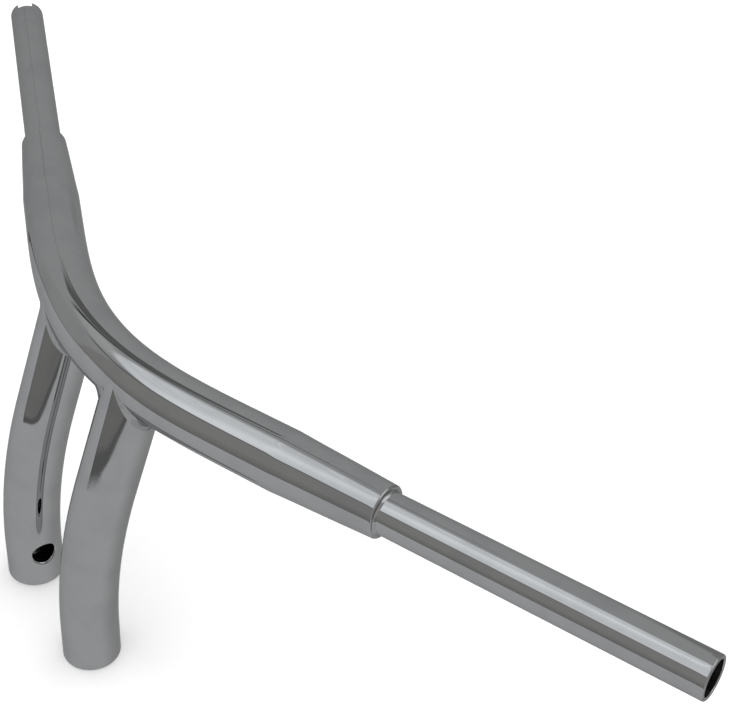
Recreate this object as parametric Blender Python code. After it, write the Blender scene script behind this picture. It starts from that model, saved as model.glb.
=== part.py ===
# A one-piece pullback handlebar for a motorcycle.
# A fat centre tube, bent in the middle and swaged down at both ends, is welded onto two curved risers.
# Thin grip tubes slip into its ends. A threaded bung closes each riser's foot.
# Frame: the origin is midway between the risers' feet, on the clamp's plane. +X is the rider's right,
# +Y is forward, away from the rider, and +Z is up.

import math

import bmesh
import bpy
from mathutils import Matrix, Vector

# Driving sizes, in metres and degrees.
TOUCH_GAP = 0.0003  # between pieces that touch

CENTER_OD = 0.0381
CENTER_WALL = 0.0030
BEND_RADIUS = 0.225
BEND_ANGLE = 20.6  # of each half, from the X axis
BEND_EASE = 0.051  # half the length over which each half's bend runs out
BEND_LIFT = 5.8  # tilt of the bend's plane, so that the grips rise towards the rider
CENTER_HALF_LENGTH = 0.231  # along the tube, from the middle to the step
TAPER_LENGTH = 0.0695  # swaged length before the step
SWAGED_WALL = 0.002875  # at the step, around the grip tube
SHOULDER_RADIUS = 0.0020

GRIP_OD = 0.0254
GRIP_WALL = 0.0024
GRIP_LENGTH = 0.1945  # from the step to the bar's end
SPIGOT_LENGTH = 0.040  # of the grip tube, inside the centre tube
GRIP_END_BEVEL = 0.0008
NOTCH_WIDTH = 0.0111  # for the throttle sensor, in the right end
NOTCH_DEPTH = 0.00635
NOTCH_TURN = -5.0  # about the grip's axis, from straight up
SLOT_LENGTH = 0.019  # for the switch wires, under each grip
SLOT_WIDTH = 0.0095
SLOT_FROM_STEP = 0.012

RISER_OD = 0.0381
RISER_WALL = 0.0030
RISER_SPACING = 0.0889  # centre to centre
RISER_STRAIGHT = 0.026  # at the foot
RISER_BEND_RADIUS = 0.365
RISER_LEAN = 18.0  # towards the rider, at the top
RISER_LENGTH = 0.2195  # along the riser, from the clamp's plane to the bar's axis
FOOT_ROUNDING = 0.0012
WIRE_HOLE_HEIGHT = 0.028
WIRE_HOLE_OD = 0.0159
BAR_HOLE_OD = 0.019  # in the centre tube, above each riser

BUNG_BORE = 0.012  # at the middle of the thread's depth
BUNG_TO_WIRE_HOLE = 0.002
BUNG_MOUTH_BEVEL = 0.0008
GROOVE_DEPTH = 0.0015  # of the V that the bung's weld fills

STEP_WELD_LEG = 0.0012
RISER_WELD_RADIUS = 0.008
RISER_WELD_REACH = 0.93  # how far round the riser each weld runs, 1 being its widest side

# How finely round shapes are divided.
TUBE_SIDES = 32
BEND_STEP = 0.011
PATH_STEP = 0.0005
WELD_SECTIONS = 15
WELD_ARC_POINTS = 6

X_AXIS = Vector((1, 0, 0))
BEND_SIDEWAYS = Vector((0, -math.cos(math.radians(BEND_LIFT)), math.sin(math.radians(BEND_LIFT))))


# ---- the two centre lines ----

def heading(along):
    """Angle of the bar's line from the X axis, at a signed distance from the middle."""
    distance = abs(along)
    steady = BEND_RADIUS * math.radians(BEND_ANGLE) - BEND_EASE
    easing = min(max(distance - steady, 0), 2 * BEND_EASE)
    angle = (min(distance, steady) + easing - easing**2 / (4 * BEND_EASE)) / BEND_RADIUS
    return math.copysign(angle, along)


def walk_bend(length):
    """Sideways and lengthways travel of one half of the bar, at every PATH_STEP."""
    travel = [(0.0, 0.0)]
    for index in range(math.ceil(length / PATH_STEP) + 1):
        angle = heading((index + 0.5) * PATH_STEP)
        outward, sideways = travel[-1]
        travel.append((outward + PATH_STEP * math.cos(angle), sideways + PATH_STEP * math.sin(angle)))
    return travel


BAR_HALF_LENGTH = CENTER_HALF_LENGTH + GRIP_LENGTH
BEND_TRAVEL = walk_bend(BAR_HALF_LENGTH)


def bend_travel(along):
    index, part = divmod(abs(along) / PATH_STEP, 1)
    here, there = BEND_TRAVEL[int(index)], BEND_TRAVEL[int(index) + 1]
    outward, sideways = (a + (b - a) * part for a, b in zip(here, there))
    return math.copysign(outward, along), sideways


def riser_point(along):
    """Y and Z of the riser's line, and its lean, at a distance from its foot."""
    bend_length = RISER_BEND_RADIUS * math.radians(RISER_LEAN)
    lean = min(max(along - RISER_STRAIGHT, 0), bend_length) / RISER_BEND_RADIUS
    beyond = max(along - RISER_STRAIGHT - bend_length, 0)
    back = RISER_BEND_RADIUS * (1 - math.cos(lean)) + beyond * math.sin(lean)
    height = min(along, RISER_STRAIGHT) + RISER_BEND_RADIUS * math.sin(lean) + beyond * math.cos(lean)
    return -back, height, lean


def junction_distance():
    """Distance along the bar at which its axis is over a riser."""
    along = RISER_SPACING / 2
    for _ in range(8):
        along += (RISER_SPACING / 2 - bend_travel(along)[0]) / math.cos(heading(along))
    return along


JUNCTION = junction_distance()
RISER_TOP_Y, RISER_TOP_Z, RISER_TOP_LEAN = riser_point(RISER_LENGTH)
BAR_MIDDLE = Vector((0, RISER_TOP_Y, RISER_TOP_Z)) - BEND_SIDEWAYS * bend_travel(JUNCTION)[1]


def frame_of(point, normal, tangent):
    """A placement whose Z runs along the tube and whose X points across it."""
    across = tangent.cross(normal)
    return Matrix.Translation(point) @ Matrix((normal, across, tangent)).transposed().to_4x4()


def bar_frame(along):
    """Placement on the bar's axis, at a signed distance from the middle."""
    outward, sideways = bend_travel(along)
    angle = heading(along)
    tangent = X_AXIS * math.cos(angle) + BEND_SIDEWAYS * math.sin(angle)
    normal = BEND_SIDEWAYS * math.cos(angle) - X_AXIS * math.sin(angle)
    return frame_of(BAR_MIDDLE + X_AXIS * outward + BEND_SIDEWAYS * sideways, normal, tangent)


def riser_frame(side, along):
    y, z, lean = riser_point(along)
    tangent = Vector((0, -math.sin(lean), math.cos(lean)))
    return frame_of(Vector((side * RISER_SPACING / 2, y, z)), X_AXIS, tangent)


def upright_grip_frame(side, along):
    """Placement on a grip's axis whose X points up and whose Z points to the bar's end."""
    frame = bar_frame(side * along)
    tangent = frame.col[2].to_3d() * side
    upward = Vector((0, 0, 1)) - tangent * tangent.z
    return frame_of(frame.translation, upward.normalized(), tangent)


# ---- helpers ----

def clear_scene():
    for leftover in list(bpy.data.objects):
        bpy.data.objects.remove(leftover)


def finish(name, red, green, blue, roughness):
    """A bare or plated metal."""
    made = bpy.data.materials.new(name)
    made.use_nodes = True
    shader = made.node_tree.nodes["Principled BSDF"]
    shader.inputs["Base Color"].default_value = (red, green, blue, 1)
    shader.inputs["Metallic"].default_value = 1
    shader.inputs["Roughness"].default_value = roughness
    return made


def add_piece(name, mesh_work, anchor, metal, whole):
    """Makes an object whose origin is at its anchor and whose parent is the whole handlebar."""
    bmesh.ops.translate(mesh_work, verts=mesh_work.verts, vec=-anchor)
    bmesh.ops.recalc_face_normals(mesh_work, faces=mesh_work.faces)
    mesh = bpy.data.meshes.new(name)
    mesh_work.to_mesh(mesh)
    mesh_work.free()
    mesh.shade_smooth()
    mesh.set_sharp_from_angle(angle=math.radians(35))
    piece = bpy.data.objects.new(name, mesh)
    piece.location = anchor
    piece.parent = whole
    bpy.context.scene.collection.objects.link(piece)
    if metal:
        mesh.materials.append(metal)
    return piece


def add_cutter(name, mesh_work, whole):
    cutter = add_piece(name, mesh_work, Vector(), None, whole)
    cutter.hide_render = True
    cutter.display_type = "WIRE"
    return cutter


def cut(piece, cutter):
    modifier = piece.modifiers.new(cutter.name, "BOOLEAN")
    modifier.operation = "DIFFERENCE"
    modifier.solver = "EXACT"
    modifier.object = cutter


def add_ring(mesh_work, frame, radius):
    turns = [2 * math.pi * index / TUBE_SIDES for index in range(TUBE_SIDES)]
    return [mesh_work.verts.new(frame @ Vector((radius * math.cos(t), radius * math.sin(t), 0))) for t in turns]


def skin_rings(stations, hollow=True):
    """Joins rings, each a frame and a radius. A hollow piece's rings go out along it and come back inside."""
    mesh_work = bmesh.new()
    rings = [add_ring(mesh_work, frame, radius) for frame, radius in stations]
    if not hollow:
        mesh_work.faces.new(rings[0])
        mesh_work.faces.new(rings[-1])
    for ring, following in zip(rings, rings[1:] + (rings[:1] if hollow else [])):
        for index in range(TUBE_SIDES):
            after = (index + 1) % TUBE_SIDES
            mesh_work.faces.new((ring[index], ring[after], following[after], following[index]))
    return mesh_work


def rod(radius, start, end):
    """A straight solid cylinder between two points."""
    mesh_work = bmesh.new()
    direction = end - start
    placement = Matrix.Translation((start + end) / 2) @ direction.to_track_quat("Z", "Y").to_matrix().to_4x4()
    bmesh.ops.create_cone(
        mesh_work,
        cap_ends=True,
        segments=TUBE_SIDES,
        radius1=radius,
        radius2=radius,
        depth=direction.length,
        matrix=placement,
    )
    return mesh_work


def spread(start, end, longest):
    """Evenly spaced values from start to end, no further apart than longest."""
    count = max(1, math.ceil(abs(end - start) / longest))
    return [start + (end - start) * index / count for index in range(count + 1)]


# ---- centre tube ----

SWAGED_BORE_RADIUS = GRIP_OD / 2 + TOUCH_GAP
SWAGED_RADIUS = SWAGED_BORE_RADIUS + SWAGED_WALL
SHOULDER = min(SHOULDER_RADIUS, 0.8 * SWAGED_WALL)
TAPER_START = CENTER_HALF_LENGTH - TAPER_LENGTH
SPIGOT_START = CENTER_HALF_LENGTH - SPIGOT_LENGTH
BEND_END = BEND_RADIUS * math.radians(BEND_ANGLE) + BEND_EASE


def blend_between(value, first, last):
    return min(max((value - first) / (last - first), 0), 1)


def center_outer_radius(along):
    share = blend_between(abs(along), TAPER_START, CENTER_HALF_LENGTH)
    radius = CENTER_OD / 2 + (SWAGED_RADIUS - CENTER_OD / 2) * share
    into_shoulder = max(abs(along) - (CENTER_HALF_LENGTH - SHOULDER), 0)
    return radius - SHOULDER + math.sqrt(SHOULDER**2 - min(into_shoulder, SHOULDER) ** 2)


def center_bore_radius(along):
    share = blend_between(abs(along), TAPER_START, SPIGOT_START)
    full_bore = CENTER_OD / 2 - CENTER_WALL
    return full_bore + (SWAGED_BORE_RADIUS - full_bore) * share


def both_ways(distances):
    return [-distance for distance in reversed(distances)] + [distance for distance in distances if distance > 0]


def make_center_tube(chrome, whole):
    bend = spread(0, BEND_END, BEND_STEP)
    shoulder = [
        CENTER_HALF_LENGTH - SHOULDER * (1 - math.sin(math.radians(turn))) for turn in (0, 30, 60, 90)
    ]
    outside = both_ways(sorted(bend + [TAPER_START] + shoulder))
    inside = both_ways(sorted(bend + [TAPER_START, SPIGOT_START, CENTER_HALF_LENGTH]))
    stations = [(bar_frame(along), center_outer_radius(along)) for along in outside]
    stations += [(bar_frame(along), center_bore_radius(along)) for along in reversed(inside)]
    tube = add_piece("center_tube", skin_rings(stations), BAR_MIDDLE, chrome, whole)
    for side, label in ((-1, "left"), (1, "right")):
        frame = riser_frame(side, RISER_LENGTH)
        downward = -frame.col[2].to_3d()
        through_wall = frame.translation + downward * CENTER_OD
        cutter = rod(BAR_HOLE_OD / 2, frame.translation, through_wall)
        cut(tube, add_cutter(label + "_bar_hole_cutter", cutter, whole))


# ---- grip tubes ----

def grip_stations(side):
    """Outside from the spigot to the bar's end, then back along the bore."""
    outer = GRIP_OD / 2
    bore = outer - GRIP_WALL
    end = BAR_HALF_LENGTH
    profile = [
        (SPIGOT_START + TOUCH_GAP, outer - GRIP_END_BEVEL),
        (SPIGOT_START + TOUCH_GAP + GRIP_END_BEVEL, outer),
        (end - GRIP_END_BEVEL, outer),
        (end - 0.3 * GRIP_END_BEVEL, outer - 0.3 * GRIP_END_BEVEL),
        (end, outer - GRIP_END_BEVEL),
        (end, bore + GRIP_END_BEVEL / 2),
        (end - GRIP_END_BEVEL / 2, bore),
        (SPIGOT_START + TOUCH_GAP, bore),
    ]
    return [(bar_frame(side * along), radius) for along, radius in profile]


def slot_cutter(side):
    """A round-ended slot through the grip's lower wall."""
    frame = upright_grip_frame(side, CENTER_HALF_LENGTH + SLOT_FROM_STEP + SLOT_LENGTH / 2)
    mesh_work = bmesh.new()
    half_straight = (SLOT_LENGTH - SLOT_WIDTH) / 2
    outline = []
    for turn in range(-90, 271, 15):
        end_shift = half_straight if turn <= 90 else -half_straight
        angle = math.radians(turn)
        across, along = SLOT_WIDTH / 2 * math.sin(angle), SLOT_WIDTH / 2 * math.cos(angle) + end_shift
        if turn < 270:
            outline.append(mesh_work.verts.new((-GRIP_OD, across, along)))
        if turn == 90:
            outline.append(mesh_work.verts.new((-GRIP_OD, across, -half_straight)))
    start = mesh_work.faces.new(outline)
    grown = bmesh.ops.extrude_face_region(mesh_work, geom=[start])
    moved = [item for item in grown["geom"] if isinstance(item, bmesh.types.BMVert)]
    bmesh.ops.translate(mesh_work, verts=moved, vec=(GRIP_OD, 0, 0))
    bmesh.ops.transform(mesh_work, matrix=frame, verts=mesh_work.verts)
    return mesh_work


def notch_cutter():
    """A bar across the right end, which leaves two facing notches."""
    past_end = NOTCH_DEPTH
    frame = upright_grip_frame(1, BAR_HALF_LENGTH + (past_end - NOTCH_DEPTH) / 2)
    size = Matrix.Diagonal((2 * GRIP_OD, NOTCH_WIDTH, NOTCH_DEPTH + past_end, 1))
    mesh_work = bmesh.new()
    turn = Matrix.Rotation(math.radians(NOTCH_TURN), 4, "Z")
    bmesh.ops.create_cube(mesh_work, size=1, matrix=frame @ turn @ size)
    return mesh_work


def make_grip_tube(side, label, chrome, whole):
    anchor = bar_frame(side * CENTER_HALF_LENGTH).translation
    tube = add_piece(label + "_grip_tube", skin_rings(grip_stations(side)), anchor, chrome, whole)
    cut(tube, add_cutter(label + "_slot_cutter", slot_cutter(side), whole))
    if side > 0:
        cut(tube, add_cutter("notch_cutter", notch_cutter(), whole))


def make_step_weld(side, label, weld_metal, whole):
    """The small bead in the corner between the shoulder and the grip tube."""
    root = GRIP_OD / 2 + TOUCH_GAP
    leg = min(STEP_WELD_LEG, SWAGED_WALL - SHOULDER)
    start = CENTER_HALF_LENGTH + TOUCH_GAP
    bulge = 0.6 * leg
    profile = [(start, root), (start, root + leg), (start + bulge, root + bulge), (start + leg, root)]
    stations = [(bar_frame(side * along), radius) for along, radius in profile]
    anchor = bar_frame(side * CENTER_HALF_LENGTH).translation
    add_piece(label + "_step_weld", skin_rings(stations), anchor, weld_metal, whole)


# ---- risers ----

def make_riser_tube(side, label, chrome, whole):
    outer = RISER_OD / 2
    bore = outer - RISER_WALL
    bend_end = RISER_STRAIGHT + RISER_BEND_RADIUS * math.radians(RISER_LEAN)
    line = spread(RISER_STRAIGHT, bend_end, BEND_STEP) + [RISER_LENGTH]
    foot = [(0, outer - FOOT_ROUNDING), (0.3 * FOOT_ROUNDING, outer - 0.3 * FOOT_ROUNDING), (FOOT_ROUNDING, outer)]
    outside = foot + [(along, outer) for along in line]
    inside = [(along, bore) for along in reversed(line)] + [(GROOVE_DEPTH, bore), (0, bore + GROOVE_DEPTH)]
    stations = [(riser_frame(side, along), radius) for along, radius in outside + inside]
    anchor = riser_frame(side, 0).translation
    tube = add_piece(label + "_riser_tube", skin_rings(stations), anchor, chrome, whole)

    # The top is coped to the bar: a fat copy of the bar's outside is taken from it.
    reach = RISER_OD
    seat = spread(side * JUNCTION - reach, side * JUNCTION + reach, BEND_STEP)
    saddle = skin_rings([(bar_frame(along), CENTER_OD / 2 + TOUCH_GAP) for along in seat], hollow=False)
    cut(tube, add_cutter(label + "_saddle_cutter", saddle, whole))

    hole_center = riser_frame(side, WIRE_HOLE_HEIGHT).translation
    hole = rod(WIRE_HOLE_OD / 2, hole_center, hole_center - X_AXIS * side * RISER_OD)
    cut(tube, add_cutter(label + "_wire_hole_cutter", hole, whole))


def make_bung(side, label, steel, weld_metal, whole):
    """The threaded plug in the riser's foot, and the weld that closes the V around it."""
    outer = RISER_OD / 2 - RISER_WALL - TOUCH_GAP
    top = WIRE_HOLE_HEIGHT - WIRE_HOLE_OD / 2 - BUNG_TO_WIRE_HOLE
    bore = BUNG_BORE / 2
    profile = [
        (0, outer - GROOVE_DEPTH),
        (GROOVE_DEPTH, outer),
        (top, outer),
        (top, bore),
        (BUNG_MOUTH_BEVEL, bore),
        (0, bore + BUNG_MOUTH_BEVEL),
    ]
    anchor = riser_frame(side, 0).translation
    stations = [(riser_frame(side, along), radius) for along, radius in profile]
    add_piece(label + "_riser_bung", skin_rings(stations), anchor, steel, whole)

    middle = outer + TOUCH_GAP / 2
    half_width = GROOVE_DEPTH + TOUCH_GAP / 2 - TOUCH_GAP * math.sqrt(2)
    profile = [(0, middle + half_width), (0, middle - half_width), (half_width, middle)]
    stations = [(riser_frame(side, along), radius) for along, radius in profile]
    add_piece(label + "_bung_weld", skin_rings(stations), anchor, weld_metal, whole)


# ---- welds between risers and bar ----

def nearest_on_bar(point, along):
    """The bar's axis point nearest to a point, starting from a guess."""
    for _ in range(6):
        frame = bar_frame(along)
        along += (point - frame.translation).dot(frame.col[2].to_3d())
    return bar_frame(along).translation


def ball_rest(side, turn, ball_radius):
    """Centre of a ball that rests against riser and bar, a gap off both, at a turn about the riser."""
    frame = riser_frame(side, RISER_LENGTH)
    across = frame.col[0].to_3d() * math.cos(turn) + frame.col[1].to_3d() * math.sin(turn)
    off_riser = frame.translation + across * (RISER_OD / 2 + TOUCH_GAP + ball_radius)
    target = CENTER_OD / 2 + TOUCH_GAP + ball_radius
    high, low = 0.0, 2 * target
    for _ in range(30):
        drop = (high + low) / 2
        center = off_riser - frame.col[2].to_3d() * drop
        on_axis = nearest_on_bar(center, side * JUNCTION)
        if (center - on_axis).length < target:
            high = drop
        else:
            low = drop
    return center, across, (on_axis - center).normalized()


def weld_section(side, turn):
    """Outline of the fillet: its concave face, then its two legs."""
    center, across, to_bar = ball_rest(side, turn, RISER_WELD_RADIUS)
    root, _, _ = ball_rest(side, turn, 0)
    spread_angle = (-across).angle(to_bar)
    outline = []
    for index in range(WELD_ARC_POINTS):
        share = index / (WELD_ARC_POINTS - 1)
        toward = -across * math.sin((1 - share) * spread_angle) + to_bar * math.sin(share * spread_angle)
        outline.append(center + toward * (RISER_WELD_RADIUS / math.sin(spread_angle)))
    chord = (outline[-1] + root) / 2
    on_axis = nearest_on_bar(chord, side * JUNCTION)
    outline.append(on_axis + (chord - on_axis).normalized() * (CENTER_OD / 2 + TOUCH_GAP))
    outline.append(root)
    return outline


def make_riser_weld(side, facing, name, weld_metal, whole):
    """A crescent fillet on the side of the riser that faces along +X or -X."""
    narrowest = (CENTER_OD / 2 + RISER_WELD_RADIUS) / (RISER_OD / 2 + RISER_WELD_RADIUS)
    reach = math.asin(min(RISER_WELD_REACH * narrowest, 1))
    mesh_work = bmesh.new()
    loops = []
    for index in range(WELD_SECTIONS):
        turn = reach * (2 * index / (WELD_SECTIONS - 1) - 1)
        if facing < 0:
            turn = math.pi - turn
        loops.append([mesh_work.verts.new(point) for point in weld_section(side, turn)])
    size = len(loops[0])
    for loop, following in zip(loops, loops[1:]):
        for corner in range(size):
            after = (corner + 1) % size
            mesh_work.faces.new((loop[corner], loop[after], following[after], following[corner]))
    mesh_work.faces.new(loops[0])
    mesh_work.faces.new(loops[-1])
    bmesh.ops.triangulate(mesh_work, faces=[face for face in mesh_work.faces if len(face.verts) > 4])
    anchor = riser_frame(side, RISER_LENGTH).translation
    add_piece(name, mesh_work, anchor, weld_metal, whole)


def make_handlebar():
    clear_scene()
    chrome = finish("chrome", 0.60, 0.61, 0.61, 0.07)
    weld_chrome = finish("weld_chrome", 0.56, 0.57, 0.57, 0.16)
    bung_steel = finish("bung_steel", 0.45, 0.45, 0.44, 0.35)
    whole = bpy.data.objects.new("handlebar", None)
    bpy.context.scene.collection.objects.link(whole)

    make_center_tube(chrome, whole)
    for side, label in ((-1, "left"), (1, "right")):
        make_grip_tube(side, label, chrome, whole)
        make_step_weld(side, label, weld_chrome, whole)
        make_riser_tube(side, label, chrome, whole)
        make_bung(side, label, bung_steel, weld_chrome, whole)
        make_riser_weld(side, -side, label + "_riser_inner_weld", weld_chrome, whole)
        make_riser_weld(side, side, label + "_riser_outer_weld", weld_chrome, whole)


make_handlebar()
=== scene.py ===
import math

import bmesh
import bpy
from mathutils import Matrix, Vector, noise


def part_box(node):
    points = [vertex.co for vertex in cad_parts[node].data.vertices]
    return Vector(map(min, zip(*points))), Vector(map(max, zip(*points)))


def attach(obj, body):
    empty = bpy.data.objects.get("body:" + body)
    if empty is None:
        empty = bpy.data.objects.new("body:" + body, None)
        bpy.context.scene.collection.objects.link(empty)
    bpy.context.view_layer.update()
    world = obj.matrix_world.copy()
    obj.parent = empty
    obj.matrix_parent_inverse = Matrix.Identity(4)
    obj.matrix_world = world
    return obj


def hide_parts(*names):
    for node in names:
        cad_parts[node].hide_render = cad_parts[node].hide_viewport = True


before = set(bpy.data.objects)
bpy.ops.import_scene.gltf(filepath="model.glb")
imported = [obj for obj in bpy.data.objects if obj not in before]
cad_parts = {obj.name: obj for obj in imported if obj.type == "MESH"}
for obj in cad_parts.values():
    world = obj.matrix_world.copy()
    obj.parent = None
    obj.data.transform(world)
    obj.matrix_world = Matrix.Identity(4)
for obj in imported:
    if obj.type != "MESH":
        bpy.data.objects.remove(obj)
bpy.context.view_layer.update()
print("frame loaded:", len(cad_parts), "parts")

xAxis = Vector((1, 0, 0))
root = "root"
sharpAngle = math.radians(38)


# The two centre lines. Distances are in metres, along the tubes.

barLine = dict(
    bendRadius=0.225,
    bendAngle=math.radians(20.6),  # each half, from the X axis
    bendEase=0.051,  # half the length in which each bend runs out
    bendLift=math.radians(5.8),  # tilt of the bend's plane
    centerHalf=0.231,  # middle to step
    gripLength=0.1945,  # step to end
    pathStep=0.0005,
)
riserLine = dict(
    straight=0.026,
    bendRadius=0.365,
    lean=math.radians(18.0),
    length=0.2195,  # foot to the bar's axis
)
sideways = Vector((0, -math.cos(barLine["bendLift"]), math.sin(barLine["bendLift"])))
barHalf = barLine["centerHalf"] + barLine["gripLength"]


def heading(along):
    distance = abs(along)
    ease = barLine["bendEase"]
    steady = barLine["bendRadius"] * barLine["bendAngle"] - ease
    easing = min(max(distance - steady, 0), 2 * ease)
    angle = (min(distance, steady) + easing - easing**2 / (4 * ease)) / barLine["bendRadius"]
    return math.copysign(angle, along)


def walkBend():
    step = barLine["pathStep"]
    travel = [(0.0, 0.0)]
    for index in range(math.ceil(barHalf / step) + 1):
        angle = heading((index + 0.5) * step)
        outward, aside = travel[-1]
        travel.append((outward + step * math.cos(angle), aside + step * math.sin(angle)))
    return travel


bendTable = walkBend()


def bendTravel(along):
    index, part = divmod(abs(along) / barLine["pathStep"], 1)
    here, there = bendTable[int(index)], bendTable[int(index) + 1]
    outward, aside = (a + (b - a) * part for a, b in zip(here, there))
    return math.copysign(outward, along), aside


def riserPoint(along):
    bendLength = riserLine["bendRadius"] * riserLine["lean"]
    lean = min(max(along - riserLine["straight"], 0), bendLength) / riserLine["bendRadius"]
    beyond = max(along - riserLine["straight"] - bendLength, 0)
    back = riserLine["bendRadius"] * (1 - math.cos(lean)) + beyond * math.sin(lean)
    height = min(along, riserLine["straight"])
    height += riserLine["bendRadius"] * math.sin(lean) + beyond * math.cos(lean)
    return -back, height, lean


# The frame says where the risers stand.
leftLow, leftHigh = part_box("left_riser_tube")
rightLow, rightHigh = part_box("right_riser_tube")
riserSpacing = (rightLow.x + rightHigh.x - leftLow.x - leftHigh.x) / 2


def junctionDistance():
    along = riserSpacing / 2
    for _ in range(8):
        along += (riserSpacing / 2 - bendTravel(along)[0]) / math.cos(heading(along))
    return along


junction = junctionDistance()
topY, topZ, topLean = riserPoint(riserLine["length"])
barMiddle = Vector((0, topY, topZ)) - sideways * bendTravel(junction)[1]


def frameOf(point, normal, tangent):
    across = tangent.cross(normal)
    return Matrix.Translation(point) @ Matrix((normal, across, tangent)).transposed().to_4x4()


def barFrame(along):
    outward, aside = bendTravel(along)
    angle = heading(along)
    tangent = xAxis * math.cos(angle) + sideways * math.sin(angle)
    normal = sideways * math.cos(angle) - xAxis * math.sin(angle)
    return frameOf(barMiddle + xAxis * outward + sideways * aside, normal, tangent)


def outwardFrame(side, along):
    # the same, with its Z towards that end of the bar
    frameHere = barFrame(side * along)
    return frameHere if side > 0 else frameHere @ Matrix.Rotation(math.pi, 4, "X")


def riserFrame(side, along):
    y, z, lean = riserPoint(along)
    tangent = Vector((0, -math.sin(lean), math.cos(lean)))
    return frameOf(Vector((side * riserSpacing / 2, y, z)), xAxis, tangent)


# Making skins. Each tube grows as rings of points. Every point also keeps its place on the straightened
# tube, in the layer "lay", which the materials read.

def spread(start, end, longest):
    count = max(1, math.ceil(abs(end - start) / longest - 1e-6))
    return [start + (end - start) * index / count for index in range(count + 1)]


def blendBetween(value, first, last):
    return min(max((value - first) / (last - first), 0), 1)


def quarterTurns(steps):
    return [math.pi / 2 * index / steps for index in range(steps + 1)]


def newSkin(frameAt, columns, firstTurn=0.0):
    work = bmesh.new()
    turns = [firstTurn + 2 * math.pi * index / columns for index in range(columns)]
    return dict(work=work, lay=work.verts.layers.float_vector.new("lay"), frameAt=frameAt, turns=turns)


def addPoint(skin, where, flat):
    vert = skin["work"].verts.new(where)
    vert[skin["lay"]] = flat
    return vert


def onTube(skin, turn, along, radius, wave=0.0):
    flat = Vector((radius * math.cos(turn), radius * math.sin(turn), along))
    if wave:  # hand polishing leaves long, shallow waves
        radius += wave * (noise.noise(flat * 50) + 0.4 * noise.noise(flat * 130))
    inTube = Vector((radius * math.cos(turn), radius * math.sin(turn), 0))
    return skin["frameAt"](along) @ inTube, flat


def addRing(skin, along, radius, wave=0.0):
    # along may be one value for each turn, and radius may depend on the turn
    ring = []
    for index, turn in enumerate(skin["turns"]):
        here = along[index] if isinstance(along, list) else along
        size = radius(turn) if callable(radius) else radius
        ring.append(addPoint(skin, *onTube(skin, turn, here, size, wave)))
    return ring


def addFace(skin, verts, material=0):
    face = skin["work"].faces.new(verts)
    face.material_index = material


def joinRings(skin, ring, following, material=0, gap=(0, 0)):
    for index in range(len(ring)):
        if not gap[0] <= index < gap[1]:
            after = (index + 1) % len(ring)
            addFace(skin, (ring[index], ring[after], following[after], following[index]), material)


def joinAll(skin, rings, material=0, closed=False):
    for ring, following in zip(rings, rings[1:] + (rings[:1] if closed else [])):
        joinRings(skin, ring, following, material)


def aimOnTube(skin, radius, hole, across, lengthways):
    # the turn and distance along at which the skin lies under a point of the drill's plane
    centre = skin["frameAt"](hole["along"])
    sideDirection = centre.to_3x3() @ Vector((-math.sin(hole["turn"]), math.cos(hole["turn"]), 0))
    turn = hole["turn"] + across / radius
    along = hole["along"] + lengthways
    for _ in range(7):
        place, _flat = onTube(skin, turn, along, radius)
        offset = place - centre.translation
        turn += (across - offset.dot(sideDirection)) / (radius * max(math.cos(turn - hole["turn"]), 0.3))
        along += lengthways - offset.dot(centre.col[2].to_3d())
    return turn, along


def outlineOf(hole, angle, grow):
    # a round hole, or a slot whose straight sides run along the tube
    size = hole["diameter"] / 2 + grow
    half = (hole.get("length", hole["diameter"]) - hole["diameter"]) / 2
    across, lengthways = math.cos(angle), math.sin(angle)
    if half and abs(lengthways) * size < half * abs(across):
        return math.copysign(size, across), size * lengthways / abs(across)
    if half:
        push = half * abs(lengthways)
        reach = push + math.sqrt(max(push**2 - half**2 + size**2, 0))
        return reach * across, reach * lengthways
    return size * across, size * lengthways


def windowOf(skin, alongs, hole):
    reachAround = math.asin((hole["diameter"] / 2 + hole["margin"]) / hole["tubeRadius"])
    reachAlong = hole.get("length", hole["diameter"]) / 2 + hole["margin"]
    columns = [i for i, turn in enumerate(skin["turns"]) if abs(turn - hole["turn"]) <= reachAround]
    rows = [j for j, along in enumerate(alongs) if abs(along - hole["along"]) <= reachAlong]
    return rows[0], rows[-1], columns[0], columns[-1]


windowSteps = (0.3, 0.6, 0.85, 1.0)  # from the window's border to the hole's rounded edge


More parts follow.
